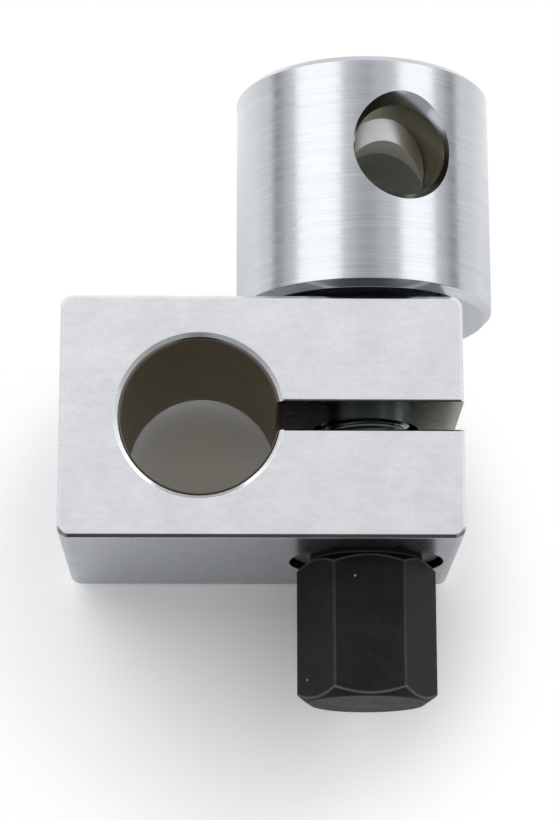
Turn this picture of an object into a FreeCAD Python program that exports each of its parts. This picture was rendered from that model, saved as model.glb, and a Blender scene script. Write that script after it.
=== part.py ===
import FreeCAD, Part
import Sketcher
import math
import os

# Swivel clamp holder that joins a round column to a round cross rod
# The row's origin is the centre of the column bore, halfway through the block
# X runs from the column bore to the stud axis, Y along the stud axis, Z along the column bore


# Driving dimensions in millimetres and degrees, with what each one measures
SIZES = (
    ("block_width", 52.0, "length of the split block, across the column bore and the stud"),
    ("block_height", 32.0, "height of the block along the stud axis"),
    ("block_depth", 32.0, "thickness of the block along the column"),
    ("block_corner", 1.5, "radius of the block's four upright corners"),
    ("block_break", 0.45, "edge break round the block's two large faces"),
    ("column_bore", 20.2, "diameter of the bore that takes a 20 mm column"),
    ("column_chamfer", 0.9, "chamfer at both ends of the column bore"),
    ("slot_width", 3.7, "gap between the two ears"),
    ("slot_break", 0.25, "edge break along the slot"),
    ("axis_pitch", 22.0, "from the column bore's axis to the stud axis"),
    ("stud_inset", 12.0, "from the stud axis to the block's split end"),
    ("shank_hole", 14.4, "diameter of the free hole through both ears"),
    ("recess_diameter", 20.4, "round recess in the lower ear that lets the nut's corners in"),
    ("recess_depth", 7.9, "depth of that recess"),
    ("sleeve_diameter", 34.5, "outside diameter of the rod sleeve"),
    ("sleeve_inner", 20.0, "inside diameter of the rod sleeve"),
    ("sleeve_length", 32.0, "length of the rod sleeve"),
    ("sleeve_chamfer", 0.95, "chamfer on the sleeve's two outer edges"),
    ("sleeve_inner_break", 0.5, "edge break at the mouths of the sleeve's inside"),
    ("sleeve_gap", 1.1, "slack between the block and the sleeve"),
    ("rod_bore", 12.4, "diameter of the cross bore that takes a 12 mm rod"),
    ("rod_height", 19.5, "from the sleeve's lower end to the cross bore's axis"),
    ("rod_mouth", 15.0, "widest diameter of the cross bore's countersinks"),
    ("rod_cone", 60.0, "included angle of the cross bore's countersinks"),
    ("rod_turn", 16.2, "how far the cross bore is swivelled from the column's direction"),
    ("head_clearance", 0.08, "radial running clearance of the eye's head in the sleeve"),
    ("head_lift", 0.5, "from the block's upper face to the head's shoulder"),
    ("head_above_eye", 12.5, "from the eye's axis to the top of the head"),
    ("head_chamfer", 0.6, "edge break of the head's two ends"),
    ("eye_drop", 4.3, "how far the slack eye lies below the sleeve's cross bore"),
    ("eye_break", 1.2, "edge break of the eye, measured on its radius"),
    ("shank_diameter", 12.0, "diameter over the thread of the shank"),
    ("shank_fillet", 0.8, "radius under the head"),
    ("shank_chamfer", 1.0, "chamfer at the shank's end"),
    ("shank_in_nut", 11.5, "how far the shank reaches into the nut from its collar"),
    ("nut_flats", 16.0, "width of the nut across its flats"),
    ("nut_length", 18.8, "length of the nut's hexagon"),
    ("nut_circle", 15.0, "diameter of the flat left inside the nut's chamfers"),
    ("nut_bevel", 35.0, "angle of the nut's chamfers from its end faces"),
    ("nut_stand_off", 0.1, "from the block's lower face to the nut's hexagon"),
    ("nut_clearance", 0.05, "radial running clearance of the nut on the shank"),
    ("nut_end_wall", 1.6, "thickness left between the blind bore's tip and the nut's end"),
    ("drill_angle", 118.0, "point angle of the drill that made the blind bore"),
    ("collar_diameter", 14.8, "diameter of the nut's round bearing collar"),
    ("collar_height", 1.0, "height of that collar"),
    ("washer_thickness", 2.0, "thickness of the thrust washer"),
    ("washer_clearance", 0.3, "radial clearance of the washer in its recess"),
    ("washer_hole", 13.0, "hole in the washer"),
    ("washer_break", 0.3, "edge break of the washer"),
)

FULL_TURN = 360
CUT_MARGIN = 1.0
EDGE_TOLERANCE = 1e-4

doc = FreeCAD.newDocument("clamp_holder")
sheet = doc.addObject("Spreadsheet::Sheet", "Dims")
for row, (alias, value, meaning) in enumerate(SIZES, start=1):
    sheet.set(f"A{row}", meaning)
    sheet.set(f"B{row}", str(value))
    sheet.setAlias(f"B{row}", alias)
doc.recompute()


def size(alias):
    """The present value of a driving dimension."""
    return float(sheet.get(alias))


def new_body(label):
    """A named body with nothing in it yet."""
    body = doc.addObject("PartDesign::Body", label)
    body.Label = label
    return body


def origin_part(body, role):
    """One of the body's own origin planes or axes."""
    return next(item for item in body.Origin.OriginFeatures if item.Role == role)


def new_sketch(body, name, role, lift=None, turn=None):
    """A sketch on an origin plane, lifted along its normal and turned about it by expressions."""
    sketch = body.newObject("Sketcher::SketchObject", name)
    sketch.AttachmentSupport = (origin_part(body, role), [""])
    sketch.MapMode = "FlatFace"
    if lift:
        sketch.setExpression("AttachmentOffset.Base.z", lift)
    if turn:
        sketch.setExpression("AttachmentOffset.Rotation.Angle", turn)
    return sketch


def tie_point(sketch, edge, corner):
    """Ties the start of an edge to a corner given as two expressions, where 0 means on the axis."""
    for kind, axis, expression in (("DistanceX", -2, corner[0]), ("DistanceY", -1, corner[1])):
        if expression == "0":
            sketch.addConstraint(Sketcher.Constraint("PointOnObject", edge, 1, axis))
            continue
        start = float(sketch.evalExpression(expression))
        index = sketch.addConstraint(Sketcher.Constraint(kind, -1, 1, edge, 1, start))
        sketch.setExpression(f"Constraints[{index}]", expression)


def add_outline(sketch, corners):
    """A closed outline of straight edges through corners that are pairs of expressions."""
    first = sketch.GeometryCount
    points = []
    for across, along in corners:
        here = (float(sketch.evalExpression(across)), float(sketch.evalExpression(along)), 0)
        points.append(FreeCAD.Vector(*here))
    count = len(points)
    for step in range(count):
        sketch.addGeometry(Part.LineSegment(points[step], points[(step + 1) % count]), False)
    for step in range(count):
        follower = first + (step + 1) % count
        sketch.addConstraint(Sketcher.Constraint("Coincident", first + step, 2, follower, 1))
    for step, corner in enumerate(corners):
        tie_point(sketch, first + step, corner)


def add_circle(sketch, diameter, across="0"):
    """A circle on the sketch's horizontal axis with its diameter given as an expression."""
    centre = FreeCAD.Vector(float(sketch.evalExpression(across)), 0, 0)
    radius = float(sketch.evalExpression(diameter)) / 2
    edge = sketch.addGeometry(Part.Circle(centre, FreeCAD.Vector(0, 0, 1), radius), False)
    sketch.addConstraint(Sketcher.Constraint("PointOnObject", edge, 3, -1))
    if across == "0":
        sketch.addConstraint(Sketcher.Constraint("PointOnObject", edge, 3, -2))
    else:
        index = sketch.addConstraint(Sketcher.Constraint("DistanceX", -1, 1, edge, 3, centre.x))
        sketch.setExpression(f"Constraints[{index}]", across)
    index = sketch.addConstraint(Sketcher.Constraint("Diameter", edge, 2 * radius))
    sketch.setExpression(f"Constraints[{index}]", diameter)


def pad(body, name, sketch, length, symmetric=False, reverse=False):
    """Material pushed out of a sketch."""
    feature = body.newObject("PartDesign::Pad", name)
    feature.Profile = sketch
    feature.SideType = "Symmetric" if symmetric else "One side"
    feature.Reversed = reverse
    feature.setExpression("Length", length)
    doc.recompute()
    return feature


def pocket_through(body, name, sketch):
    """A cut through the whole body, to both sides of its sketch."""
    before = body.Shape.Volume
    feature = body.newObject("PartDesign::Pocket", name)
    feature.Profile = sketch
    feature.SideType = "Symmetric"
    feature.Type = "ThroughAll"
    doc.recompute()
    require_cut(body, name, before)
    return feature


def turned(body, name, kind, sketch, axis):
    """A revolution or a groove once round one of its sketch's axes."""
    before = body.Shape.Volume if kind == "Groove" else None
    feature = body.newObject(f"PartDesign::{kind}", name)
    feature.Profile = sketch
    feature.ReferenceAxis = (sketch, [axis])
    feature.Angle = FULL_TURN
    doc.recompute()
    if before is not None:
        require_cut(body, name, before)
    return feature


def require_cut(body, name, before):
    """Stops the build if a cut took nothing away."""
    if not body.Shape.Volume < before - EDGE_TOLERANCE:
        raise RuntimeError(f"{name} cut nothing from {body.Label}")


def edge_names(feature, wanted):
    """The names of the edges of a feature that pass a test."""
    found = [f"Edge{number}" for number, edge in enumerate(feature.Shape.Edges, start=1) if wanted(edge)]
    if not found:
        raise RuntimeError(f"{feature.Label} has no edge to finish")
    return found


def finish_edges(body, name, kind, base, wanted, amount):
    """A fillet or a chamfer on the edges of a feature that pass a test."""
    feature = body.newObject(f"PartDesign::{kind}", name)
    feature.Base = (base, edge_names(base, wanted))
    feature.setExpression("Radius" if kind == "Fillet" else "Size", amount)
    doc.recompute()
    return feature


def near(value, target):
    """Whether two lengths agree."""
    return abs(value - target) < EDGE_TOLERANCE


def is_straight(edge, direction):
    """Whether an edge is straight and runs along a direction."""
    if edge.Curve.TypeId != "Part::GeomLine":
        return False
    return near(abs(edge.tangentAt(edge.FirstParameter).dot(direction)), 1.0)


def cross_bore(body, name, height, radius, mouth, cone, reach):
    """A bore across a turned piece, swivelled about its axis, with a cone at each mouth.

    The tool's outline is half of the bore's section: straight in the middle, and from the depth
    where the cone begins it widens to the mouth's radius at the piece's own radius.
    """
    sketch = new_sketch(body, name + "_outline", "XY_Plane", height, "Dims.rod_turn")
    slope = f"tan({cone} / 2 * 1 deg)"
    start = f"({reach} - ({mouth} - {radius}) / {slope})"
    end = f"({reach} + {CUT_MARGIN})"
    widest = f"({radius} + ({end} - {start}) * {slope})"
    corners = (
        ("0", f"-{end}"),
        (widest, f"-{end}"),
        (radius, f"-{start}"),
        (radius, start),
        (widest, end),
        ("0", end),
    )
    add_outline(sketch, corners)
    return turned(body, name, "Groove", sketch, "V_Axis")


def stand_on_stud_axis(body, height, downwards=False):
    """Sets a turned piece on the stud axis with its own Z along the row's Y, or against it."""
    tilt = 90 if downwards else -90
    body.Placement.Rotation = FreeCAD.Rotation(FreeCAD.Vector(1, 0, 0), tilt)
    body.setExpression("Placement.Base.x", "Dims.axis_pitch")
    body.setExpression("Placement.Base.y", height)


# Split clamp block: a square bar end with the column bore, the slot and the free hole for the shank
def make_clamp_block():
    block = new_body("clamp_block")
    right = "(Dims.axis_pitch + Dims.stud_inset)"
    left = f"({right} - Dims.block_width)"
    top = "Dims.block_height / 2"
    outline = new_sketch(block, "block_outline", "XY_Plane")
    add_outline(outline, ((left, f"-{top}"), (right, f"-{top}"), (right, top), (left, top)))
    bar = pad(block, "block_bar", outline, "Dims.block_depth", symmetric=True)

    along_column = FreeCAD.Vector(0, 0, 1)
    corners = finish_edges(block, "block_corners", "Fillet", bar,
                           lambda edge: is_straight(edge, along_column), "Dims.block_corner")
    face_height = size("block_depth") / 2

    def on_large_face(edge):
        box = edge.BoundBox
        return near(box.ZLength, 0) and near(abs(box.ZMin), face_height)

    finish_edges(block, "block_edges", "Chamfer", corners, on_large_face, "Dims.block_break")

    bore_sketch = new_sketch(block, "column_circle", "XY_Plane")
    add_circle(bore_sketch, "Dims.column_bore")
    bore = pocket_through(block, "column_hole", bore_sketch)
    bore_radius = size("column_bore") / 2

    def bore_mouth(edge):
        return on_large_face(edge) and hasattr(edge.Curve, "Radius") and near(edge.Curve.Radius, bore_radius)

    finish_edges(block, "column_mouths", "Chamfer", bore, bore_mouth, "Dims.column_chamfer")

    slot_sketch = new_sketch(block, "slot_outline", "XY_Plane")
    half_slot = "Dims.slot_width / 2"
    past_end = f"({right} + {CUT_MARGIN})"
    add_outline(slot_sketch, (("0", f"-{half_slot}"), (past_end, f"-{half_slot}"),
                              (past_end, half_slot), ("0", half_slot)))
    slot = pocket_through(block, "slot_cut", slot_sketch)
    slot_side = size("slot_width") / 2

    def slot_edge(edge):
        flat = is_straight(edge, FreeCAD.Vector(1, 0, 0)) and on_large_face(edge)
        return flat and near(abs(edge.BoundBox.YMin), slot_side)

    finish_edges(block, "slot_edges", "Chamfer", slot, slot_edge, "Dims.slot_break")

    hole_sketch = new_sketch(block, "shank_circle", "XZ_Plane", "Dims.block_height / 2")
    add_circle(hole_sketch, "Dims.shank_hole", "Dims.axis_pitch")
    doc.recompute()
    before = block.Shape.Volume
    hole = block.newObject("PartDesign::Hole", "shank_hole")
    hole.Profile = hole_sketch
    hole.DepthType = "ThroughAll"
    hole.HoleCutType = "Counterbore"
    hole.HoleCutCustomValues = True
    hole.setExpression("Diameter", "Dims.shank_hole")
    hole.setExpression("HoleCutDiameter", "Dims.recess_diameter")
    hole.setExpression("HoleCutDepth", "Dims.recess_depth")
    doc.recompute()
    require_cut(block, "shank_hole", before)
    return block


# Rod sleeve: a turned ring with a cross bore through both its walls
def make_rod_sleeve():
    sleeve = new_body("rod_sleeve")
    outer = "Dims.sleeve_diameter / 2"
    inner = "Dims.sleeve_inner / 2"
    length = "Dims.sleeve_length"
    bevel = "Dims.sleeve_chamfer"
    inner_break = "Dims.sleeve_inner_break"
    wall = new_sketch(sleeve, "sleeve_wall", "XZ_Plane")
    corners = (
        (f"{inner} + {inner_break}", "0"),
        (f"{outer} - {bevel}", "0"),
        (outer, bevel),
        (outer, f"{length} - {bevel}"),
        (f"{outer} - {bevel}", length),
        (f"{inner} + {inner_break}", length),
        (inner, f"{length} - {inner_break}"),
        (inner, inner_break),
    )
    add_outline(wall, corners)
    turned(sleeve, "sleeve_ring", "Revolution", wall, "V_Axis")
    cross_bore(sleeve, "sleeve_cross_bore", "Dims.rod_height", "Dims.rod_bore / 2",
               "Dims.rod_mouth / 2", "Dims.rod_cone", outer)
    stand_on_stud_axis(sleeve, "Dims.block_height / 2 + Dims.sleeve_gap")
    return sleeve


# Eye bolt: a round head with the rod's eye, above a threaded shank, drawn at its thread's diameter
def make_eye_bolt():
    bolt = new_body("eye_bolt")
    head = "(Dims.sleeve_inner / 2 - Dims.head_clearance)"
    shank = "Dims.shank_diameter / 2"
    eye = "(Dims.sleeve_gap + Dims.rod_height - Dims.eye_drop - Dims.head_lift)"
    top = f"({eye} + Dims.head_above_eye)"
    collar_top = "(Dims.nut_stand_off - Dims.collar_height)"
    end = f"(Dims.head_lift + Dims.block_height + {collar_top} + Dims.shank_in_nut)"
    bevel = "Dims.head_chamfer"
    point = "Dims.shank_chamfer"
    section = new_sketch(bolt, "bolt_section", "XZ_Plane")
    corners = (
        ("0", f"-{end}"),
        (f"{shank} - {point}", f"-{end}"),
        (shank, f"-({end} - {point})"),
        (shank, "0"),
        (f"{head} - {bevel}", "0"),
        (head, bevel),
        (head, f"{top} - {bevel}"),
        (f"{head} - {bevel}", top),
        ("0", top),
    )
    add_outline(section, corners)
    turning = turned(bolt, "bolt_turning", "Revolution", section, "V_Axis")
    shank_radius = size("shank_diameter") / 2

    def under_head(edge):
        flat = near(edge.BoundBox.ZLength, 0) and near(edge.BoundBox.ZMin, 0)
        return flat and hasattr(edge.Curve, "Radius") and near(edge.Curve.Radius, shank_radius)

    finish_edges(bolt, "bolt_root", "Fillet", turning, under_head, "Dims.shank_fillet")
    cross_bore(bolt, "bolt_eye", eye, "Dims.rod_bore / 2",
               "(Dims.rod_bore / 2 + Dims.eye_break)", "Dims.rod_cone", head)
    stand_on_stud_axis(bolt, "Dims.block_height / 2 + Dims.head_lift")
    return bolt


# Thrust washer: a plain ring between the nut's collar and the floor of the recess
def make_thrust_washer():
    washer = new_body("thrust_washer")
    outer = "(Dims.recess_diameter / 2 - Dims.washer_clearance)"
    inner = "Dims.washer_hole / 2"
    edge = "Dims.washer_break"
    deep = "Dims.washer_thickness"
    section = new_sketch(washer, "washer_section", "XZ_Plane")
    corners = (
        (inner, "0"),
        (f"{outer} - {edge}", "0"),
        (outer, edge),
        (outer, f"{deep} - {edge}"),
        (f"{outer} - {edge}", deep),
        (inner, deep),
    )
    add_outline(section, corners)
    turned(washer, "washer_ring", "Revolution", section, "V_Axis")
    stand_on_stud_axis(washer, "Dims.collar_height - Dims.nut_stand_off - Dims.block_height / 2")
    return washer


# Hexagon nut: tall and closed, with a chamfer at each end and a round collar that bears on the washer
def make_hex_nut():
    nut = new_body("hex_nut")
    half_flats = "Dims.nut_flats / 2"
    corner = "(Dims.nut_flats / sqrt(3))"
    hexagon = new_sketch(nut, "nut_hexagon", "XY_Plane")
    add_outline(hexagon, (
        (corner, "0"),
        (f"{corner} / 2", half_flats),
        (f"-{corner} / 2", half_flats),
        (f"-{corner}", "0"),
        (f"-{corner} / 2", f"-{half_flats}"),
        (f"{corner} / 2", f"-{half_flats}"),
    ))
    pad(nut, "nut_bar", hexagon, "Dims.nut_length")

    circle = "Dims.nut_circle / 2"
    beyond = f"({corner} + {CUT_MARGIN})"
    drop = f"(({beyond} - {circle}) * tan(Dims.nut_bevel * 1 deg))"
    length = "Dims.nut_length"
    bevels = new_sketch(nut, "nut_bevels", "XZ_Plane")
    add_outline(bevels, ((circle, "0"), (beyond, "0"), (beyond, drop)))
    add_outline(bevels, ((circle, length), (beyond, f"{length} - {drop}"), (beyond, length)))
    turned(nut, "nut_chamfers", "Groove", bevels, "V_Axis")

    collar = new_sketch(nut, "collar_circle", "XY_Plane")
    add_circle(collar, "Dims.collar_diameter")
    pad(nut, "nut_collar", collar, "Dims.collar_height", reverse=True)

    bore = "(Dims.shank_diameter / 2 + Dims.nut_clearance)"
    mouth = "-Dims.collar_height"
    drill_tip = "(Dims.nut_length - Dims.nut_end_wall)"
    floor = f"({drill_tip} - {bore} / tan(Dims.drill_angle / 2 * 1 deg))"
    bore_section = new_sketch(nut, "nut_bore_section", "XZ_Plane")
    add_outline(bore_section, (("0", mouth), (bore, mouth), (bore, floor), ("0", drill_tip)))
    turned(nut, "nut_bore", "Groove", bore_section, "V_Axis")
    stand_on_stud_axis(nut, "-Dims.nut_stand_off - Dims.block_height / 2", downwards=True)
    return nut


bodies = (
    make_clamp_block(),
    make_rod_sleeve(),
    make_eye_bolt(),
    make_thrust_washer(),
    make_hex_nut(),
)
doc.recompute()

for item in doc.Objects:
    if "Invalid" in item.State or "Error" in item.State:
        raise RuntimeError(f"{item.Label} did not build: {item.State}")
for body in bodies:
    shape = body.Shape
    if shape.isNull() or not shape.isValid() or len(shape.Solids) != 1:
        raise RuntimeError(f"{body.Label} is not one valid solid")

os.makedirs("parts", exist_ok=True)
for body in bodies:
    body.Shape.exportStep(f"parts/{body.Label}.step")
    box = body.Shape.BoundBox
    print(body.Label, round(body.Shape.Volume, 2), [round(value, 3) for value in (
        box.XMin, box.XMax, box.YMin, box.YMax, box.ZMin, box.ZMax)])
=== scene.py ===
"""Clamp holder: its visible pieces, their finishes and the studio round them.

A split block grips a column in its large bore. Beside it stands a sleeve that turns about the
stud axis. An eye bolt runs inside the sleeve and down through both ears of the block, and a
black hexagon nut under the block draws the sleeve, the rod in its cross bore and the ears together.

Every length is in millimetres in the row's frame unless a name says otherwise. X runs from the
column bore to the stud axis, Y along the stud axis from the nut to the sleeve, and Z along the
column bore, out of the face that is seen. One factor turns millimetres into metres.
"""
import logging
import math
from dataclasses import dataclass, field
from enum import Enum
from functools import partial

import bmesh
import bpy
import numpy as np
from mathutils import Matrix


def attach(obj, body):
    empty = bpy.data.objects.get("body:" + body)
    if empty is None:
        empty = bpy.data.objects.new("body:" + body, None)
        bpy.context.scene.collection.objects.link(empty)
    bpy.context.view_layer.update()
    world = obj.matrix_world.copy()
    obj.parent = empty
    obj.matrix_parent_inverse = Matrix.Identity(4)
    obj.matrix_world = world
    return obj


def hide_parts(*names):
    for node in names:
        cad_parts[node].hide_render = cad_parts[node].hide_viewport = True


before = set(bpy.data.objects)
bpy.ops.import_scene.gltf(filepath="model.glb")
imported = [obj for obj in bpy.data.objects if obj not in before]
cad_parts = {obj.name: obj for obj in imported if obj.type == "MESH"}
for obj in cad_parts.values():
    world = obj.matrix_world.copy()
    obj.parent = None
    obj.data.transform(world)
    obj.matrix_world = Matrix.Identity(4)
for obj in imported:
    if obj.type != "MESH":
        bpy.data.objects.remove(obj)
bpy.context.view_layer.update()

MM = 0.001
PHOTO_HEIGHT = 820
log = logging.getLogger("clamp_holder")


class Body(Enum):
    """The moving bodies that the rebuilt pieces ride on."""

    SLEEVE = "sleeve"
    EYE_BOLT = "eye_bolt"
    NUT = "nut"


class Side(Enum):
    """The two ends of the cross bore: the one that faces out of the picture, and the hidden one."""

    FRONT = 1.0
    BACK = -1.0


# Colours and nodes


def linear(code: str) -> tuple[float, float, float, float]:
    """Turns an sRGB hex colour into linear red, green, blue and a full alpha.

    Args:
        code: six hex digits, with or without a leading mark.

    Returns:
        The colour's four linear values.
    """
    digits = code.lstrip("#")
    shown = np.array([int(digits[i:i + 2], 16) for i in (0, 2, 4)]) / 255.0
    light = np.where(shown <= 0.04045, shown / 12.92, ((shown + 0.055) / 1.055) ** 2.4)
    return (float(light[0]), float(light[1]), float(light[2]), 1.0)


MODES = {"Math": "operation", "VectorMath": "operation", "Mix": "data_type",
         "MapRange": "interpolation_type"}


def add_node(tree: bpy.types.NodeTree, kind: str, inputs: dict | None = None, stops: tuple = (),
             **settings) -> bpy.types.Node:
    """Adds one node with its settings, its socket values and its links.

    Args:
        tree: the node tree that gets the node.
        kind: the node's type name after its common beginning, and its mode where it needs one.
        inputs: socket names or numbers, each with a constant, an output socket or a whole node,
            which stands for its first output in use.
        stops: places and colours of a colour ramp, where the node has one.
        **settings: the node's own options.

    Returns:
        The new node.
    """
    name, _, mode = kind.partition(" ")
    node = tree.nodes.new("ShaderNode" + name)
    if mode:
        setattr(node, MODES[name], mode)
    for key, value in settings.items():
        setattr(node, key, value)
    for element, (place, colour) in zip(node.color_ramp.elements if stops else (), stops):
        element.position, element.color = place, colour
    for key, value in (inputs or {}).items():
        if isinstance(value, bpy.types.Node):
            value = next(socket for socket in value.outputs if socket.enabled)
        if isinstance(value, bpy.types.NodeSocket):
            tree.links.new(value, node.inputs[key])
        else:
            node.inputs[key].default_value = value
    return node


def fresh(holder: bpy.types.Material | bpy.types.World) -> partial:
    """Empties a node tree.

    Args:
        holder: the material or the world that the tree belongs to.

    Returns:
        The function that adds nodes to the tree.
    """
    holder.use_nodes = True
    holder.node_tree.nodes.clear()
    return partial(add_node, holder.node_tree)


def span(low: float, high: float, *to: float) -> dict[str, float]:
    """A map range's limits: the low and the high value, and where given the two that they turn into."""
    return dict(zip(("From Min", "From Max", "To Min", "To Max"), (low, high, *to)))


def grey(level: float) -> tuple[float, float, float, float]:
    """A colour that carries a plain number."""
    return (level, level, level, 1.0)


@dataclass(frozen=True)
class Finish:
    """What all the finishes share: a Principled surface and object coordinates in millimetres."""

    name: str

    def begin(self) -> tuple[bpy.types.Material, partial, bpy.types.Node]:
        """Starts the material.

        Returns:
            The material, the function that adds nodes to it, and the coordinates in millimetres.
        """
        material = bpy.data.materials.new(self.name)
        add = fresh(material)
        place = add("TexCoord")
        return material, add, add("VectorMath MULTIPLY", {0: place.outputs["Object"], 1: (1 / MM,) * 3})

    def end(self, add: partial, inputs: dict) -> None:
        """Ends the material.

        Args:
            add: the function that adds nodes to it.
            inputs: the Principled surface's sockets, with what they hold or what feeds them.
        """
        add("OutputMaterial", {"Surface": add("BsdfPrincipled", inputs)})


@dataclass(frozen=True)
class ZincPlate(Finish):
    """Bright zinc plate over a drawn and milled steel bar.

    Thin electroplated zinc is a soft, slightly blue silver. The two sawn and ground faces scatter
    what they mirror, and the drawn sides and the chamfers keep it sharper. The drilled bore and
    the sawn slot take little zinc, and stay a darker, browner steel. Deeper in the slot that steel
    is painted darker still, as painted shade.
    """

    light: str = "#EFF0F3"
    dull: str = "#DFE1E6"
    drawn: str = "#9CA0A5"
    bore_light: str = "#A99F86"
    bore_dark: str = "#7D745D"
    # The sawn slot's steel: lighter at its open end, and painted darker deeper in as painted shade
    slot_light: str = "#9A9C90"
    slot_dark: str = "#55544B"
    # Near black for the shank's holes and the nut's recess: painted shade
    recess: str = "#26241F"
    recess_middle: float = 22.0
    recess_reach: float = 10.35
    ear_inside: float = 2.5
    ear_outside: float = 15.9
    face_roughness: float = 0.52
    side_roughness: float = 0.24
    chamfer_roughness: float = 0.1
    bore_roughness: float = 0.4
    face_height: float = 15.99
    side_height: float = 15.5
    bore_reach: float = 10.3
    chamfer_reach: float = 11.05
    slot_reach: float = 1.9
    clouds: float = 5.0
    mottle: float = 0.9
    grain: float = 0.28
    tool_mark: float = 0.5
    edge_round: float = 0.12
    lip_lean: float = 0.28
    cover_range: tuple[float, float] = (1.1, 1.9)
    slot_fade: tuple[float, float] = (20.0, 34.0)
    mark_stretch: float = 0.12
    uneven: float = 0.08
    relief: float = 0.3
    relief_height: float = 0.012

    def build(self) -> bpy.types.Material:
        """Builds the material.

        Returns:
            The finished material.
        """
        material, add, mm = self.begin()
        parts = add("SeparateXYZ", {0: mm})
        clouds = add("TexNoise", {"Vector": mm, "Scale": 1 / self.clouds, "Detail": 3.0})
        lay = add("VectorMath MULTIPLY", {0: mm,
                                          1: (0.5 / self.mottle, 1 / self.mottle, 1 / self.mottle)})
        mottle = add("TexNoise", {"Vector": lay, "Scale": 1.0, "Detail": 4.0, "Roughness": 0.6})
        grain = add("TexNoise", {"Vector": mm, "Scale": 1 / self.grain, "Detail": 2.0})
        fine = add("Math ADD", {0: mottle, 1: grain})
        cover = add("Math ADD", {0: fine, 1: clouds})
        plate = add("MapRange", {"Value": cover} | span(*self.cover_range))
        zinc = add("Mix RGBA", {"Factor": plate, 6: linear(self.dull), 7: linear(self.light)})

        # Distances from the bore's axis, from the slot's middle plane and from the block's own middle
        flat = add("VectorMath MULTIPLY", {0: mm, 1: (1, 1, 0)})
        reach = add("VectorMath LENGTH", {0: flat})
        off_middle = add("Math ABSOLUTE", {0: parts.outputs["Y"]})
        depth = add("Math ABSOLUTE", {0: parts.outputs["Z"]})
        in_bore = add("Math LESS_THAN", {0: reach, 1: self.bore_reach})
        in_mouth = add("Math LESS_THAN", {0: reach, 1: self.chamfer_reach})
        on_face = add("Math GREATER_THAN", {0: depth, 1: self.face_height})
        past_side = add("Math GREATER_THAN", {0: depth, 1: self.side_height})
        in_slot = add("Math LESS_THAN", {0: off_middle, 1: self.slot_reach})
        right = add("Math GREATER_THAN", {0: parts.outputs["X"], 1: 0.0})
        slot = add("Math MULTIPLY", {0: in_slot, 1: right})

        stretch = (self.mark_stretch, self.mark_stretch, 1 / self.tool_mark)
        rings = add("VectorMath MULTIPLY", {0: mm, 1: stretch})
        tool = add("TexNoise", {"Vector": rings, "Scale": 1.0, "Detail": 4.0, "Roughness": 0.6})
        drilled = add("Mix RGBA", {"Factor": tool, 6: linear(self.bore_dark),
                                   7: linear(self.bore_light)})
        # Painted shade: the sawn steel darkens from the slot's open end towards its inner end
        outward = add("MapRange", {"Value": parts.outputs["X"]} | span(*self.slot_fade))
        sawn = add("Mix RGBA", {"Factor": outward, 6: linear(self.slot_dark),
                                7: linear(self.slot_light)})
        skin = add("Mix RGBA", {"Factor": past_side, 6: linear(self.drawn), 7: zinc})
        with_slot = add("Mix RGBA", {"Factor": slot, 6: skin, 7: sawn})
        bored = add("Mix RGBA", {"Factor": in_bore, 6: with_slot, 7: drilled})

        # The shank's hole and the nut's recess lie round the stud axis, inside the ears; both are painted
        # near black, as painted shade
        from_stud = add("VectorMath SUBTRACT", {0: mm, 1: (self.recess_middle, 0, 0)})
        level = add("VectorMath MULTIPLY", {0: from_stud, 1: (1, 0, 1)})
        stud_reach = add("VectorMath LENGTH", {0: level})
        round_stud = add("Math LESS_THAN", {0: stud_reach, 1: self.recess_reach})
        past_slot = add("Math GREATER_THAN", {0: off_middle, 1: self.ear_inside})
        under_skin = add("Math LESS_THAN", {0: off_middle, 1: self.ear_outside})
        in_ear = add("Math MULTIPLY", {0: past_slot, 1: under_skin})
        in_recess = add("Math MULTIPLY", {0: in_ear, 1: round_stud})
        colour = add("Mix RGBA", {"Factor": in_recess, 6: bored, 7: linear(self.recess)})

        # Ground faces are the roughest, then the bore, the drawn sides and the cut chamfers
        edge = add("Math MAXIMUM", {0: in_mouth, 1: past_side})
        side = add("Mix FLOAT", {"Factor": edge, 2: self.side_roughness, 3: self.chamfer_roughness})
        face = add("Mix FLOAT", {"Factor": on_face, 2: side, 3: self.face_roughness})
        rough = add("Mix FLOAT", {"Factor": in_bore, 2: face, 3: self.bore_roughness})
        uneven = add("Math MULTIPLY_ADD", {0: clouds, 1: self.uneven, 2: rough})
        height = add("Mix FLOAT", {"Factor": in_bore, 2: fine, 3: tool})
        rounded = add("Bevel", {"Radius": self.edge_round * MM}, samples=6)
        # The bore's mouths are opened by a tool with a flatter lip, so their normals lean outward
        lip = add("Math SUBTRACT", {0: in_mouth, 1: in_bore})
        lip_edge = add("Math MULTIPLY", {0: lip, 1: past_side})
        outward_side = add("Math SIGN", {0: parts.outputs["Z"]})
        outward_lean = add("Math MULTIPLY", {0: outward_side, 1: self.lip_lean})
        lean = add("Math MULTIPLY", {0: lip_edge, 1: outward_lean})
        lean_way = add("CombineXYZ", {"Z": lean})
        leant = add("VectorMath ADD", {0: rounded, 1: lean_way})
        normal = add("VectorMath NORMALIZE", {0: leant})
        bump = add("Bump", {"Strength": self.relief, "Distance": self.relief_height * MM,
                            "Height": height, "Normal": normal})
        self.end(add, {"Base Color": colour, "Roughness": uneven, "Normal": bump, "Metallic": 1.0})
        return material


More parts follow.
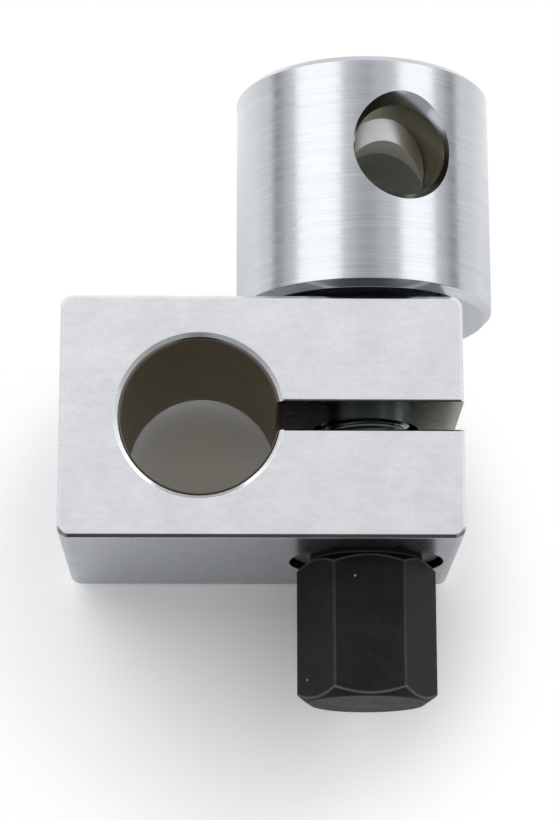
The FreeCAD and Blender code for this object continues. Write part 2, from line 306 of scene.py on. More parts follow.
@dataclass(frozen=True)
class TurnedSteel(Finish):
    """Steel turned on a lathe, then plated or left bright.

    The tool leaves rings about the turning axis. Along the rings the surface mirrors sharply, and
    across them it smears, so highlights are bands with crisp long sides and streaky insides. A
    drilled cross bore stays darker and browner, and its countersink is cut smooth.
    """

    light: str = "#CBCED3"
    dull: str = "#BDC1C6"
    bore_light: str = "#A5A08F"
    bore_dark: str = "#807B6A"
    roughness: float = 0.2
    cone_roughness: float = 0.12
    bore_roughness: float = 0.38
    anisotropy: float = 0.35
    axis_x: float = 22.0
    turn: float = 16.2
    bore_height: float = 36.6
    bore_reach: float = 6.28
    cone_reach: float = 7.7
    skin_reach: float = 17.2
    ring: float = 0.16
    wander: float = 14.0
    bump: float = 0.13
    lean_out: float = 0.0
    lean_low: float = 0.0
    mark_range: tuple[float, float] = (0.3, 0.7)
    broad: float = 0.16
    uneven: float = 0.05
    relief_height: float = 0.02

    def build(self) -> bpy.types.Material:
        """Builds the material.

        Returns:
            The finished material.
        """
        material, add, mm = self.begin()
        from_axis = add("VectorMath SUBTRACT", {0: mm, 1: (self.axis_x, 0, 0)})
        across = add("VectorMath MULTIPLY", {0: from_axis, 1: (1, 0, 1)})
        radius = add("VectorMath LENGTH", {0: across})
        parts = add("SeparateXYZ", {0: mm})
        # Distance along the section: height on the round wall, radius on an end face
        section = add("Math ADD", {0: parts.outputs["Y"], 1: radius})
        ring_place = add("Math DIVIDE", {0: section, 1: self.ring})
        wander_x = add("Math DIVIDE", {0: parts.outputs["X"], 1: self.wander})
        wander_z = add("Math DIVIDE", {0: parts.outputs["Z"], 1: self.wander})
        lay = add("CombineXYZ", {"X": wander_x, "Y": ring_place, "Z": wander_z})
        rings = add("TexNoise", {"Vector": lay, "Scale": 1.0, "Detail": 4.0, "Roughness": 0.7})
        broad = add("TexNoise", {"Vector": lay, "Scale": self.broad, "Detail": 3.0, "Roughness": 0.6})
        tint = add("MapRange", {"Value": rings} | span(*self.mark_range))
        steel = add("Mix RGBA", {"Factor": tint, 6: linear(self.dull), 7: linear(self.light)})

        # Distance from the cross bore's axis, and whether the point lies under the turned skin
        angle = math.radians(self.turn)
        aside = add("VectorMath DOT_PRODUCT", {0: from_axis, 1: (math.cos(angle), 0, -math.sin(angle))})
        above = add("Math SUBTRACT", {0: parts.outputs["Y"], 1: self.bore_height})
        pair = add("CombineXYZ", {"X": aside, "Y": above})
        off_bore = add("VectorMath LENGTH", {0: pair})
        under_skin = add("Math LESS_THAN", {0: radius, 1: self.skin_reach})
        near_bore = add("Math LESS_THAN", {0: off_bore, 1: self.bore_reach})
        near_cone = add("Math LESS_THAN", {0: off_bore, 1: self.cone_reach})
        in_bore = add("Math MULTIPLY", {0: near_bore, 1: under_skin})
        in_cone = add("Math MULTIPLY", {0: near_cone, 1: under_skin})
        drilled = add("Mix RGBA", {"Factor": broad, 6: linear(self.bore_dark),
                                   7: linear(self.bore_light)})
        colour = add("Mix RGBA", {"Factor": in_bore, 6: steel, 7: drilled})
        spread = add("MapRange", {"Value": broad}
                     | span(*self.mark_range, self.roughness - self.uneven, self.roughness + self.uneven))
        smooth = add("Mix FLOAT", {"Factor": in_cone, 2: spread, 3: self.cone_roughness})
        rough = add("Mix FLOAT", {"Factor": in_bore, 2: smooth, 3: self.bore_roughness})
        marks = add("Mix FLOAT", {"Factor": in_cone, 2: rings, 3: 0.5})
        bump = add("Bump", {"Strength": self.bump, "Distance": self.relief_height * MM,
                            "Height": marks})
        inputs = {"Base Color": colour, "Roughness": rough, "Metallic": 1.0,
                  "Normal": self.lean(add, bump, across, in_bore)}
        if self.anisotropy > 0:
            inputs |= {"Anisotropic": self.anisotropy,
                       "Tangent": add("Tangent", direction_type="RADIAL", axis="Y")}
        self.end(add, inputs)
        return material

    def lean(self, add: partial, normal: bpy.types.Node, across: bpy.types.Node,
             in_bore: bpy.types.Node) -> bpy.types.Node:
        """Leans the shading away from the turning axis and towards the foot.

        Off the cross bore's wall the normal gains a share of the direction away from the axis. On
        the whole piece it gains a share of the direction down the axis, as a head with a swelling
        side has.

        Args:
            add: the function that adds nodes to the material.
            normal: the bumped normal.
            across: the place in millimetres with the part along the axis left out.
            in_bore: 1 on the wall of the cross bore.

        Returns:
            The leaning normal, or the same one where both shares are nought.
        """
        if self.lean_out == 0 and self.lean_low == 0:
            return normal
        away = add("VectorMath NORMALIZE", {0: across})
        turned = add("VectorTransform", {0: away}, vector_type="VECTOR", convert_from="OBJECT",
                     convert_to="WORLD")
        share = add("Mix FLOAT", {"Factor": in_bore, 2: self.lean_out, 3: 0.0})
        outward = add("VectorMath SCALE", {0: turned, "Scale": share})
        both = add("VectorMath ADD", {0: outward, 1: (0, -self.lean_low, 0)})
        total = add("VectorMath ADD", {0: normal, 1: both})
        return add("VectorMath NORMALIZE", {0: total})


@dataclass(frozen=True)
class BlackOxide(Finish):
    """Black oxide on a steel nut, oiled.

    The conversion coat is a matt charcoal that the oil makes slightly glossy. Its sharp edges are
    painted a lighter grey, a painted highlight, and a few pale specks of dust and bare metal show
    on it.
    """

    coat: str = "#232324"
    oiled: str = "#2E2E2F"
    speck: str = "#B9B9B7"
    roughness: float = 0.46
    blotch: float = 3.2
    grain: float = 0.18
    speck_spacing: float = 4.6
    speck_size: float = 0.15
    # The grey painted along the nut's edges: a painted highlight
    worn: str = "#8E8E8C"
    wear_width: float = 0.5
    wear_turn: tuple[float, float] = (0.995, 0.95)
    wear_most: float = 0.6
    blotch_range: tuple[float, float] = (0.35, 0.7)
    spread_range: tuple[float, float] = (0.3, 0.7)
    uneven: float = 0.06
    relief: float = 0.15
    relief_height: float = 0.02
    sheen: float = 0.05

    def build(self) -> bpy.types.Material:
        """Builds the material.

        Returns:
            The finished material.
        """
        material, add, mm = self.begin()
        blotch = add("TexNoise", {"Vector": mm, "Scale": 1 / self.blotch, "Detail": 5.0,
                                  "Roughness": 0.6})
        grain = add("TexNoise", {"Vector": mm, "Scale": 1 / self.grain, "Detail": 2.0})
        coat = add("ValToRGB", {"Fac": blotch},
                   stops=tuple(zip(self.blotch_range, (linear(self.coat), linear(self.oiled)))))
        cells = add("TexVoronoi", {"Vector": mm, "Scale": 1 / self.speck_spacing, "Randomness": 1.0})
        near = add("Math LESS_THAN", {0: cells, 1: self.speck_size / self.speck_spacing})
        # An edge is where the normal of the rounded shape turns away from the surface's own
        rounded = add("Bevel", {"Radius": self.wear_width * MM}, samples=6)
        shape = add("NewGeometry")
        agree = add("VectorMath DOT_PRODUCT", {0: rounded, 1: shape.outputs["Normal"]})
        wear = add("MapRange", {"Value": agree} | span(*self.wear_turn, 0.0, self.wear_most))
        # Edges and chamfer rims are painted a lighter grey, a painted highlight
        rubbed = add("Mix RGBA", {"Factor": wear, 6: coat, 7: linear(self.worn)})
        colour = add("Mix RGBA", {"Factor": near, 6: rubbed, 7: linear(self.speck)})
        rough = add("MapRange", {"Value": blotch}
                    | span(*self.spread_range, self.roughness - self.uneven,
                           self.roughness + self.uneven))
        bump = add("Bump", {"Strength": self.relief, "Distance": self.relief_height * MM,
                            "Height": grain})
        self.end(add, {"Base Color": colour, "Roughness": rough, "Normal": bump,
                       "Specular IOR Level": self.sheen})
        return material


# Surfaces


def eased(profile: np.ndarray, radius: float, steps: int = 3, most: float = 0.45) -> np.ndarray:
    """Rounds the corners of a section by small curves.

    Each inner corner is replaced by a quadratic curve, which touches both of its edges at the
    tangent length.

    Args:
        profile: the section's corners, one row each.
        radius: the tangent length that the rounding takes off each edge.
        steps: how many points the curve has after its first.
        most: the largest share of an edge that a corner may take.

    Returns:
        The section with more points.
    """
    before, here, after = profile[:-2], profile[1:-1], profile[2:]
    back = before - here
    ahead = after - here
    back_length = np.linalg.norm(back, axis=1, keepdims=True)
    ahead_length = np.linalg.norm(ahead, axis=1, keepdims=True)
    first = here + back / back_length * np.minimum(radius, back_length * most)
    last = here + ahead / ahead_length * np.minimum(radius, ahead_length * most)
    t = np.linspace(0.0, 1.0, steps + 1)[None, :, None]
    curves = (1 - t) ** 2 * first[:, None] + 2 * t * (1 - t) * here[:, None] + t ** 2 * last[:, None]
    return np.concatenate([profile[:1], curves.reshape(-1, 2), profile[-1:]])


def quads(rows: int, columns: int, start: int = 0) -> np.ndarray:
    """The faces between neighbouring points of a grid: each point, the next in its row, and both below.

    Args:
        rows: how many rows of points there are.
        columns: how many points a row has.
        start: the first point's number.

    Returns:
        Four point numbers for each face.
    """
    index = start + np.arange(rows * columns).reshape(rows, columns)
    corners = (index[:-1, :-1], index[:-1, 1:], index[1:, 1:], index[1:, :-1])
    return np.stack(corners, axis=-1).reshape(-1, 4)


@dataclass
class Skin:
    """Joins grids of points into one closed mesh with crisp edges where it turns sharply."""

    name: str
    crease: float = 24.0
    join: float = 3e-4
    shortest: float = 1e-4
    grids: list[np.ndarray] = field(default_factory=list)

    def add(self, grid: np.ndarray) -> None:
        """Keeps one grid of points with its rows, columns and coordinates, in millimetres."""
        self.grids.append(grid)

    def build(self) -> bpy.types.Object:
        """Joins the grids where their points meet and makes the object.

        Neighbouring points of each grid span a face. Points that coincide become one, so that a
        pole, a seam and a row shared by two grids close.

        Returns:
            The new object, at the origin.
        """
        points = np.concatenate([grid.reshape(-1, 3) for grid in self.grids]) * MM
        faces, start = [], 0
        for grid in self.grids:
            faces.append(quads(*grid.shape[:2], start))
            start += grid.shape[0] * grid.shape[1]
        mesh = bpy.data.meshes.new(self.name)
        mesh.from_pydata(points.tolist(), [], np.concatenate(faces).tolist())
        work = bmesh.new()
        work.from_mesh(mesh)
        bmesh.ops.remove_doubles(work, verts=work.verts, dist=self.join * MM)
        bmesh.ops.dissolve_degenerate(work, edges=work.edges, dist=self.shortest * MM)
        bmesh.ops.recalc_face_normals(work, faces=work.faces)
        work.to_mesh(mesh)
        work.free()
        mesh.shade_smooth()
        mesh.set_sharp_from_angle(angle=math.radians(self.crease))
        mesh.validate()
        piece = bpy.data.objects.new(self.name, mesh)
        bpy.context.scene.collection.objects.link(piece)
        return piece


@dataclass(frozen=True)
class StudAxis:
    """The axis that the sleeve, the eye bolt and the nut share, with the cross bore's direction."""

    x: float = 22.0
    turn: float = 16.2

    @property
    def out(self) -> np.ndarray:
        """The cross bore's direction, out of the picture."""
        angle = math.radians(self.turn)
        return np.array([math.sin(angle), 0.0, math.cos(angle)])

    @property
    def aside(self) -> np.ndarray:
        """The direction square to the cross bore and to the stud axis."""
        angle = math.radians(self.turn)
        return np.array([math.cos(angle), 0.0, -math.sin(angle)])

    def place(self, out: np.ndarray, aside: np.ndarray, up: np.ndarray) -> np.ndarray:
        """Turns distances along the cross bore, beside it and up the stud axis into points."""
        return (np.array([self.x, 0.0, 0.0]) + out[..., None] * self.out + aside[..., None] * self.aside
                + up[..., None] * np.array([0.0, 1.0, 0.0]))

    def lathe(self, profile: np.ndarray, angles: np.ndarray) -> np.ndarray:
        """Carries a section of radius and height once round the axis.

        A point's radius goes along the direction that turns from the cross bore's by the angle.

        Args:
            profile: rows of radius and height.
            angles: the turn of each column, in radians, either one set or one for each row.

        Returns:
            The grid of points.
        """
        radius, height = profile[:, 0:1], profile[:, 1:2]
        return self.place(radius * np.cos(angles), radius * np.sin(angles), height + 0 * angles)


AXIS = StudAxis()


@dataclass(frozen=True)
class CrossBore:
    """A bore across a round wall, with a cone at its mouth."""

    height: float
    radius: float
    mouth: float
    reach: float
    cone: float = 60.0

    @property
    def slope(self) -> float:
        """How much wider the cone gets for each millimetre outward."""
        return math.tan(math.radians(self.cone / 2))

    @property
    def cone_end(self) -> float:
        """Where the cone reaches the plain bore, from the stud axis."""
        return self.reach - (self.mouth - self.radius) / self.slope

    def width(self, depth: np.ndarray) -> np.ndarray:
        """The bore's radius at a distance from the stud axis, the larger of the cone's and its own."""
        return np.maximum(self.radius, self.mouth + (depth - self.reach) * self.slope)

    def rim(self, wall: float, around: np.ndarray, repeats: int = 60) -> tuple[np.ndarray, np.ndarray]:
        """Where the bore meets a round wall.

        The rim's radius and its distance from the stud axis depend on each other, because the
        distance is the wall's own depth at that much to the side. Repeating both settles them.

        Args:
            wall: the round wall's radius.
            around: angles round the bore, from the aside direction up.
            repeats: how often both are worked out.

        Returns:
            The rim's radius and its distance from the stud axis, for each angle.
        """
        radius = np.full_like(around, self.mouth)
        for _ in range(repeats):
            depth = np.sqrt(wall ** 2 - (radius * np.cos(around)) ** 2)
            radius = 0.5 * (radius + self.width(depth))
        return radius, np.sqrt(wall ** 2 - (radius * np.cos(around)) ** 2)


@dataclass(frozen=True)
class HoledWall:
    """A round wall between two heights, in two halves, each with the cross bore's mouth in it."""

    radius: float
    low: float
    high: float
    bore: CrossBore
    across: int = 112
    upright: int = 40
    rows: int = 18

    def frame(self) -> tuple[np.ndarray, np.ndarray]:
        """The outline of one half, unrolled, going round once.

        Returns:
            The arc angle and the height above the bore, for each point.
        """
        bottom, top = self.low - self.bore.height, self.high - self.bore.height
        level = np.linspace(-math.pi / 2, math.pi / 2, self.across + 1)
        rise = np.linspace(bottom, top, self.upright + 1)
        arc = np.concatenate([level, np.full(self.upright, math.pi / 2), level[-2::-1],
                              np.full(self.upright, -math.pi / 2)])
        up = np.concatenate([np.full(self.across + 1, bottom), rise[1:], np.full(self.across, top),
                             rise[-2::-1]])
        return arc, up

    def around(self) -> np.ndarray:
        """The angles round the bore at which the outline's points lie."""
        arc, up = self.frame()
        return np.arctan2(up, arc * self.radius)

    def half(self, side: Side, radius: float, rim: np.ndarray | float, crowd: float = 1.5) -> np.ndarray:
        """One half of the wall, or of a wall inside it with its columns at the same angles.

        On the unrolled wall each row blends the rim with the outline, and is then rolled up onto
        the radius.

        Args:
            side: which mouth the half has.
            radius: the radius that it is rolled up onto.
            rim: the rim's radius at each angle round the bore.
            crowd: how much closer together the rows lie near the rim, with 1 for evenly.

        Returns:
            The grid, from the rim to the outline.
        """
        arc, up = self.frame()
        around = self.around()
        rim_arc, rim_up = np.arcsin(rim * np.cos(around) / radius), rim * np.sin(around)
        blend = (np.linspace(0.0, 1.0, self.rows + 1) ** crowd)[:, None]
        arcs = rim_arc + (arc - rim_arc) * blend
        ups = rim_up + (up - rim_up) * blend
        return AXIS.place(side.value * radius * np.cos(arcs), radius * np.sin(arcs),
                          self.bore.height + ups)

    def ring(self) -> np.ndarray:
        """The angles of a whole ring whose points are those of both halves' level edges."""
        return np.linspace(-math.pi / 2, 1.5 * math.pi, 2 * self.across + 1)

    def tunnel(self, side: Side, stations: list[tuple]) -> np.ndarray:
        """The bore's wall: points at each ring's radius round the bore's axis, ring after ring.

        Args:
            side: which mouth the wall leads to.
            stations: each ring's radius and distance from the stud axis.

        Returns:
            The grid, one row for each ring.
        """
        around = self.around()
        radii = np.array([np.broadcast_to(radius, around.shape) for radius, _ in stations])
        depths = np.array([np.broadcast_to(depth, around.shape) for _, depth in stations])
        return AXIS.place(side.value * depths, radii * np.cos(around),
                          self.bore.height + radii * np.sin(around))


# Sub-assemblies


@dataclass
class ClampBlock:
    """The split block. Its node has the right shape, and gets its finish here."""

    node: str = "clamp_block"
    finish: ZincPlate = ZincPlate("zinc_plate")

    def build(self) -> None:
        """Dresses the block's node."""
        dress(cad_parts[self.node], self.finish.build())
        log.info("%s dressed", self.node)


@dataclass
class RodSleeve:
    """The turned sleeve with the countersunk cross bore."""

    outer: float = 17.25
    inner: float = 10.0
    low: float = 17.1
    high: float = 49.1
    bevel: float = 0.95
    inner_break: float = 0.5
    edge: float = 0.09
    bore: CrossBore = CrossBore(height=36.6, radius=6.2, mouth=7.5, reach=17.25)
    finish: TurnedSteel = TurnedSteel("bright_turned_steel")

    def build(self) -> None:
        """Builds the sleeve, its bore and its end faces, and sets it on its body."""
        skin = Skin("sleeve_turned")
        taken = self.bevel + self.edge
        outside = HoledWall(self.outer, self.low + taken, self.high - taken, self.bore)
        around = outside.around()
        rim, rim_depth = self.bore.rim(self.outer, around)
        for side in Side:
            skin.add(outside.half(side, self.outer, rim))
            skin.add(outside.tunnel(side, [(rim, rim_depth), (self.bore.radius, self.bore.cone_end),
                                           (self.bore.radius, self.inner_rim(around))]))
            skin.add(outside.half(side, self.inner, self.bore.radius, crowd=1.0))
        for end, away in ((self.low, 1.0), (self.high, -1.0)):
            section = np.array([
                [self.outer, end + away * taken],
                [self.outer, end + away * self.bevel],
                [self.outer - self.bevel, end],
                [self.inner + self.inner_break, end],
                [self.inner, end + away * self.inner_break],
                [self.inner, end + away * taken],
            ])
            skin.add(AXIS.lathe(eased(section, self.edge), outside.ring()[None, :]))
        piece = skin.build()
        dress(piece, self.finish.build())
        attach(piece, Body.SLEEVE.value)
        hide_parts("rod_sleeve")
        report(piece)

    def inner_rim(self, around: np.ndarray) -> np.ndarray:
        """How far from the stud axis the bore breaks into the sleeve's inside."""
        return np.sqrt(self.inner ** 2 - (self.bore.radius * np.cos(around)) ** 2)


@dataclass
class EyeBolt:
    """The eye bolt: a round head with the rod's eye, and a fine-threaded shank."""

    head: float = 9.92
    head_low: float = 16.5
    head_high: float = 44.8
    head_break: float = 0.6
    edge: float = 0.08
    root_radius: float = 0.8
    root_points: int = 7
    shank: float = 6.0
    thread_top: float = 13.6
    end: float = -26.6
    pitch: float = 1.0
    depth: float = 0.613
    run_out: float = 1.4
    point: float = 1.0
    columns: int = 128
    bore: CrossBore = CrossBore(height=32.3, radius=6.2, mouth=7.4, reach=9.92)
    finish: TurnedSteel = TurnedSteel(
        "blue_zinc_on_shank", light="#C6CFCF", dull="#AEBABA", roughness=0.17, anisotropy=0.0,
        skin_reach=0.0, ring=0.2, bump=0.2)
    # The head's copy of the blue zinc is near white, outside and in its eye: painted light
    head_finish: TurnedSteel = TurnedSteel(
        "blue_zinc_on_head", light="#FAFBFA", dull="#F1F3F2", bore_light="#F1F3EE", bore_dark="#E2E6DF",
        roughness=0.36, cone_roughness=0.5, bore_roughness=0.62, anisotropy=0.0, bore_height=32.3,
        skin_reach=9.88, ring=0.2, bump=0.15, lean_out=0.6, lean_low=0.5)

    def build(self) -> None:
        """Builds the head, its eye and the shank, and sets the bolt on its body."""
        skin = Skin("eye_bolt_threaded")
        low = self.head_low + self.head_break + self.edge
        high = self.head_high - self.head_break - self.edge
        wall = HoledWall(self.head, low, high, self.bore, across=self.columns // 2)
        around = wall.around()
        rim, rim_depth = self.bore.rim(self.head, around)
        cone_end = np.minimum(rim_depth, self.bore.cone_end)
        bore = self.bore.radius
        for side in Side:
            skin.add(wall.half(side, self.head, rim))
            skin.add(wall.tunnel(side, [(rim, rim_depth), (bore, cone_end), (bore, cone_end / 2),
                                        (bore, 0.0)]))
        top = np.array([[self.head, high], [self.head, self.head_high - self.head_break],
                        [self.head - self.head_break, self.head_high], [0.0, self.head_high]])
        skin.add(AXIS.lathe(eased(top, self.edge), wall.ring()[None, :]))
        turn = np.linspace(0.0, math.pi / 2, self.root_points)
        fillet = np.stack([self.shank + self.root_radius * (1 - np.sin(turn)),
                           self.head_low - self.root_radius * (1 - np.cos(turn))], axis=1)
        below = np.concatenate([
            eased(np.array([[self.head, low], [self.head, self.head_low + self.head_break],
                            [self.head - self.head_break, self.head_low], fillet[0]]), self.edge),
            fillet[1:], [[self.shank, self.thread_top]]])
        skin.add(AXIS.lathe(below, wall.ring()[None, :]))
        skin.add(self.thread(wall.ring()))
        tip = np.array([[self.shank - self.point, self.end], [0.0, self.end]])
        skin.add(AXIS.lathe(tip, wall.ring()[None, :]))
        piece = skin.build()
        self.dress_parts(piece)
        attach(piece, Body.EYE_BOLT.value)
        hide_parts("eye_bolt")
        report(piece)

    def dress_parts(self, piece: bpy.types.Object) -> None:
        """Gives the shank its blue zinc and the head a near-white copy of it, painted light, by the
        height of each face.

        Args:
            piece: the bolt's mesh object.
        """
        piece.data.materials.append(self.finish.build())
        piece.data.materials.append(self.head_finish.build())
        count = len(piece.data.polygons)
        centres = np.empty(count * 3)
        piece.data.polygons.foreach_get("center", centres)
        on_head = centres.reshape(count, 3)[:, 1] > (self.head_low - self.root_radius) * MM
        piece.data.polygons.foreach_set("material_index", on_head.astype(np.int32))

    def thread(self, ring: np.ndarray) -> np.ndarray:
        """The shank's fine thread.

        The section of one pitch is a narrow crest, two flanks and a rounded root. Each row keeps
        its place in the section and climbs by one pitch a turn, so after a turn it meets the row
        one pitch higher. Rows past either end are held at that end. The depth fades out under the
        plain neck, and a cone at the tip takes the first turns down to the end face.

        Args:
            ring: the angles of the columns, once round.

        Returns:
            The grid, from the tip to the neck.
        """
        places = np.array([-0.07, 0.07, 0.33, 0.44, 0.56, 0.67])
        depths = np.array([0.0, 0.0, 0.80, 1.0, 1.0, 0.80]) * self.depth
        first = math.floor(self.end / self.pitch) - 2
        last = math.ceil(self.thread_top / self.pitch) + 2
        turns = np.arange(first, last)[:, None]
        lift = ((turns + places[None, :]) * self.pitch).reshape(-1, 1)
        cut = np.tile(depths, len(turns)).reshape(-1, 1)
        climb = (ring - ring[0])[None, :] / (2 * math.pi) * self.pitch
        height = np.clip(lift + climb, self.end, self.thread_top)
        fade = np.clip((self.thread_top - height) / self.run_out, 0.0, 1.0)
        radius = self.shank - cut * fade
        radius = np.minimum(radius, self.shank - self.point + (height - self.end))
        return AXIS.place(radius * np.cos(ring), radius * np.sin(ring), height)


@dataclass
class ThrustWasher:
    """The washer between the nut's collar and the floor of the block's recess."""

    node: str = "thrust_washer"
    # The washer's zinc is given a dark grey, darker than the other plated parts
    finish: TurnedSteel = TurnedSteel("oiled_zinc_on_washer", light="#3B3F40", dull="#2A2D2E",
                                      roughness=0.4, anisotropy=0.0, skin_reach=0.0)

    def build(self) -> None:
        """Dresses the washer's node."""
        dress(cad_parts[self.node], self.finish.build())
        log.info("%s dressed", self.node)


@dataclass
class HexNut:
    """The tall, closed hexagon nut with a round bearing collar."""

    flats: float = 16.0
    corner_radius: float = 0.3
    top: float = -16.1
    bottom: float = -34.9
    circle: float = 7.5
    bevel: float = 35.0
    collar: float = 7.4
    collar_top: float = -15.1
    bore: float = 6.05
    bore_tip: float = -33.3
    drill: float = 118.0
    per_flat: int = 14
    per_corner: int = 6
    finish: BlackOxide = BlackOxide("black_oxide")

    def build(self) -> None:
        """Builds the nut and sets it on its body."""
        angles, reach = self.hexagon()
        floor = self.bore_tip + self.bore / math.tan(math.radians(self.drill / 2))
        sink = (reach - self.circle) * math.tan(math.radians(self.bevel))
        rings = [(0.0, self.bore_tip), (self.bore, floor), (self.bore, self.collar_top),
                 (self.collar, self.collar_top), (self.collar, self.top), (self.circle, self.top),
                 (reach, self.top - sink), (reach, (self.top + self.bottom) / 2),
                 (reach, self.bottom + sink), (self.circle, self.bottom), (0.0, self.bottom)]
        radii = np.array([np.broadcast_to(radius, angles.shape) for radius, _ in rings])
        heights = np.array([np.broadcast_to(height, angles.shape) for _, height in rings])
        centre = np.array([AXIS.x, 0.0, 0.0])
        grid = centre + np.stack([radii * np.sin(angles), heights, radii * np.cos(angles)], axis=-1)
        skin = Skin("nut_hexagon", crease=12.0)
        skin.add(grid)
        piece = skin.build()
        dress(piece, self.finish.build())
        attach(piece, Body.NUT.value)
        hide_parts("hex_nut")
        report(piece)

    def hexagon(self) -> tuple[np.ndarray, np.ndarray]:
        """The outline of the hexagon with eased corners, as angles and distances from the axis.

        Between corners the distance is half the flats over the cosine of the angle from the
        flat's middle. At a corner it is the far side of a small circle that touches both flats.

        Returns:
            The angles, from the front flat's middle towards the block's split end, and the distances.
        """
        half = self.flats / 2
        sixth = math.pi / 3
        touch = math.atan((half - self.corner_radius) * math.tan(sixth / 2) / half)
        flat = np.linspace(-touch, touch, self.per_flat + 1)
        corner = np.linspace(touch, sixth - touch, self.per_corner + 1)[1:-1]
        sector = np.concatenate([flat, corner])
        angles = (np.arange(6)[:, None] * sixth + sector[None, :]).reshape(-1)
        angles = np.append(angles, angles[0] + 2 * math.pi)
        from_flat = (angles + sixth / 2) % sixth - sixth / 2
        from_corner = sixth / 2 - np.abs(from_flat)
        centre = (half - self.corner_radius) / math.cos(sixth / 2)
        under = np.maximum(self.corner_radius ** 2 - (centre * np.sin(from_corner)) ** 2, 0.0)
        rounded = centre * np.cos(from_corner) + np.sqrt(under)
        straight = half / np.cos(from_flat)
        return angles, np.where(np.abs(from_flat) > touch - 1e-9, np.minimum(rounded, straight), straight)


def dress(piece: bpy.types.Object, material: bpy.types.Material) -> None:
    """Puts one material on every slot of a piece.

    Args:
        piece: the object that is dressed.
        material: what it gets.
    """
    if not piece.material_slots:
        piece.data.materials.append(material)
    for slot in piece.material_slots:
        slot.material = material


def report(piece: bpy.types.Object) -> None:
    """Logs a new piece and how many faces it has."""
    log.info("%s: %d faces", piece.name, len(piece.data.polygons))


# Studio


def pose(right: np.ndarray, up: np.ndarray, back: np.ndarray, place: np.ndarray) -> Matrix:
    """An object's matrix, whose columns are three axes and a place."""
    columns = np.stack([right, up, back, place], axis=1)
    return Matrix(np.vstack([columns, [0.0, 0.0, 0.0, 1.0]]).tolist())


@dataclass(frozen=True)
class Softbox:
    """A rectangular lamp that shines at the clamp from a direction about the stud axis."""

    name: str
    lean: float
    width: float
    length: float
    brightness: float
    distance: float = 0.6
    along: float = 0.6

    def build(self, aim: np.ndarray) -> None:
        """Hangs the lamp, turned so that its long side runs along the stud axis.

        Args:
            aim: the point it faces, in metres.
        """
        angle = math.radians(self.lean)
        towards = np.array([math.sin(angle), self.along, math.cos(angle)])
        towards /= np.linalg.norm(towards)
        data = bpy.data.lights.new(self.name, "AREA")
        data.shape = "RECTANGLE"
        data.size, data.size_y = self.width, self.length
        data.energy = self.brightness * math.pi * self.width * self.length
        lamp = bpy.data.objects.new(self.name, data)
        right = np.cross([0.0, 1.0, 0.0], towards)
        right /= np.linalg.norm(right)
        lamp.matrix_world = pose(right, np.cross(towards, right), towards, aim + towards * self.distance)
        bpy.context.scene.collection.objects.link(lamp)


@dataclass(frozen=True)
class Patch:
    """A round part of the room, lighter or darker than the rest, that fades at its edge."""

    towards: tuple[float, float, float]
    inner: float
    outer: float
    level: float

    def over(self, add: partial, way: bpy.types.NodeSocket, under: bpy.types.Node) -> bpy.types.Node:
        """Lays the patch over the brightness found so far.

        Args:
            add: the function that adds nodes to the room.
            way: the direction that is looked along.
            under: the brightness without the patch.

        Returns:
            The brightness with it.
        """
        middle = np.array(self.towards) / np.linalg.norm(self.towards)
        near = add("VectorMath DOT_PRODUCT", {0: way, 1: middle.tolist()})
        share = add("MapRange SMOOTHSTEP", {"Value": near}
                    | span(math.cos(math.radians(self.outer)), math.cos(math.radians(self.inner))))
        return add("Mix FLOAT", {"Factor": share, 2: under, 3: self.level})


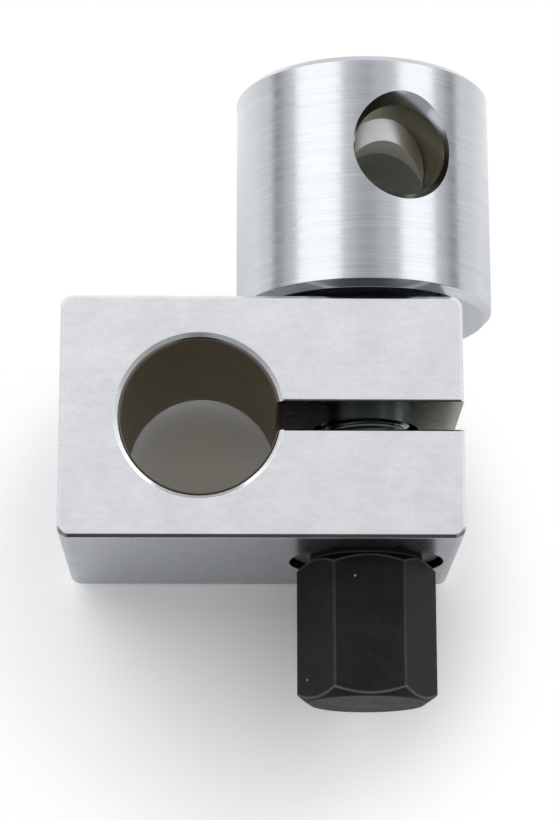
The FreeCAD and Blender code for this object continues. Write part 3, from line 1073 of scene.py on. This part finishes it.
@dataclass
class Studio:
    """The pale floor, the soft lamps, the surroundings that metal mirrors, and the camera.

    Lengths are in millimetres. A lamp's own size and distance are in metres.
    """

    floor_height: float = -17.27
    floor_reach: float = 900.0
    floor_points: int = 9
    floor_seen: str = "#FFFFFF"
    floor_bounce: float = 0.78
    floor_gain: float = 1.36
    shade_middle: tuple[float, float] = (4.0, -18.0)
    shade_reach: tuple[float, float] = (28.0, 46.0)
    mirrored_reach: tuple[float, float] = (75.0, 130.0)
    horizon: float = 0.3
    sky: float = 0.62
    sky_lean: tuple[float, float] = (0.6, 1.4)
    patches: tuple[Patch, ...] = (
        Patch(towards=(0.02, 0.24, 0.97), inner=5.0, outer=14.0, level=0.5),
        Patch(towards=(0.0, -0.96, 0.26), inner=13.0, outer=24.0, level=0.06),
    )
    rise_range: tuple[float, float] = (0.08, 0.26)
    lean_range: tuple[float, float] = (-0.7, 0.7)
    aim: tuple[float, float, float] = (12.0, 10.0, 0.0)
    camera_place: tuple[float, float, float] = (4.2986, -84.4370, 344.5648)
    focal_pixels: float = 2651.16
    sensor: float = 36.0
    softboxes: tuple[Softbox, ...] = (
        Softbox("softbox_left", lean=-42.0, width=0.44, length=0.8, brightness=0.92),
        Softbox("softbox_right", lean=48.0, width=0.34, length=0.8, brightness=0.92),
    )

    def build(self) -> None:
        """Sets up the floor, the lamps, the surroundings and the camera."""
        self.floor()
        for softbox in self.softboxes:
            softbox.build(np.array(self.aim) * MM)
        self.surroundings()
        self.camera()
        bpy.context.scene.view_settings.view_transform = "Standard"
        log.info("studio ready")

    def floor(self) -> None:
        """A large level sheet, whiter to the camera than to the light that it passes on."""
        reach, height = self.floor_reach * MM, self.floor_height * MM
        line = np.linspace(-reach, reach, self.floor_points)
        grid = np.stack(np.meshgrid(line, line, height), axis=-1)[:, :, 0]
        mesh = bpy.data.meshes.new("floor")
        mesh.from_pydata(grid.reshape(-1, 3).tolist(), [], quads(*grid.shape[:2]).tolist())
        sheet = bpy.data.objects.new("floor", mesh)
        bpy.context.scene.collection.objects.link(sheet)
        material = bpy.data.materials.new("white_sheet")
        add = fresh(material)
        path = add("LightPath")
        direct = add("Math MAXIMUM", {0: path.outputs["Is Camera Ray"],
                                      1: path.outputs["Is Transmission Ray"]})
        seen = add("Math MAXIMUM", {0: direct, 1: path.outputs["Is Glossy Ray"]})
        paper = add("Mix RGBA", {"Factor": seen, 6: grey(self.floor_bounce), 7: grey(self.floor_gain)})
        matt = add("BsdfDiffuse", {"Color": paper})
        white = add("Emission", {"Color": linear(self.floor_seen), "Strength": 1.0})
        place = add("TexCoord")
        middle = (self.shade_middle[0] * MM, self.shade_middle[1] * MM, height)
        far = add("VectorMath DISTANCE", {0: place.outputs["Object"], 1: middle})
        fade = add("MapRange SMOOTHSTEP", {"Value": far} | span(*np.array(self.shade_reach) * MM))
        far_fade = add("MapRange SMOOTHSTEP", {"Value": far}
                       | span(*np.array(self.mirrored_reach) * MM))
        outright = add("Math MULTIPLY", {0: fade, 1: direct})
        mirrored = add("Math MULTIPLY", {0: far_fade, 1: path.outputs["Is Glossy Ray"]})
        bright = add("Math MAXIMUM", {0: outright, 1: mirrored})
        both = add("MixShader", {0: bright, 1: matt, 2: white})
        add("OutputMaterial", {"Surface": both})
        dress(sheet, material)

    def surroundings(self) -> None:
        """A grey room that darkens towards the horizon, with a few lighter and darker patches."""
        world = bpy.data.worlds.new("room")
        bpy.context.scene.world = world
        add = fresh(world)
        way = add("TexCoord").outputs["Generated"]
        parts = add("SeparateXYZ", {0: way})
        rise = add("MapRange SMOOTHSTEP", {"Value": parts.outputs["Z"]}
                   | span(*self.rise_range, self.horizon, self.sky))
        lean = add("MapRange SMOOTHSTEP", {"Value": parts.outputs["Y"]}
                   | span(*self.lean_range, *self.sky_lean))
        brightness = add("Math MULTIPLY", {0: rise, 1: lean})
        for patch in self.patches:
            brightness = patch.over(add, way, brightness)
        glow = add("Background", {"Color": grey(1.0), "Strength": brightness})
        add("OutputWorld", {"Surface": glow})

    def camera(self) -> None:
        """The camera at the photograph's place, worked out from the clamp's own edges."""
        data = bpy.data.cameras.new("camera")
        data.sensor_width = self.sensor
        data.lens = self.focal_pixels * self.sensor / PHOTO_HEIGHT
        data.clip_start, data.clip_end = 0.01, 10.0
        camera = bpy.data.objects.new("camera", data)
        right = (0.99985058, -0.00146970, 0.01722401)
        up = (-0.00289440, 0.96808007, 0.25062443)
        back = (-0.01704256, -0.25063683, 0.96793116)
        place = [value * MM for value in self.camera_place]
        camera.matrix_world = pose(right, up, back, place)
        bpy.context.scene.collection.objects.link(camera)
        bpy.context.scene.camera = camera


def main() -> None:
    """Builds the pieces in order, then the studio."""
    logging.basicConfig(level=logging.INFO, format="%(name)s: %(message)s")
    for assembly in (ClampBlock(), RodSleeve(), EyeBolt(), ThrustWasher(), HexNut(), Studio()):
        assembly.build()


if __name__ == "__main__":
    main()
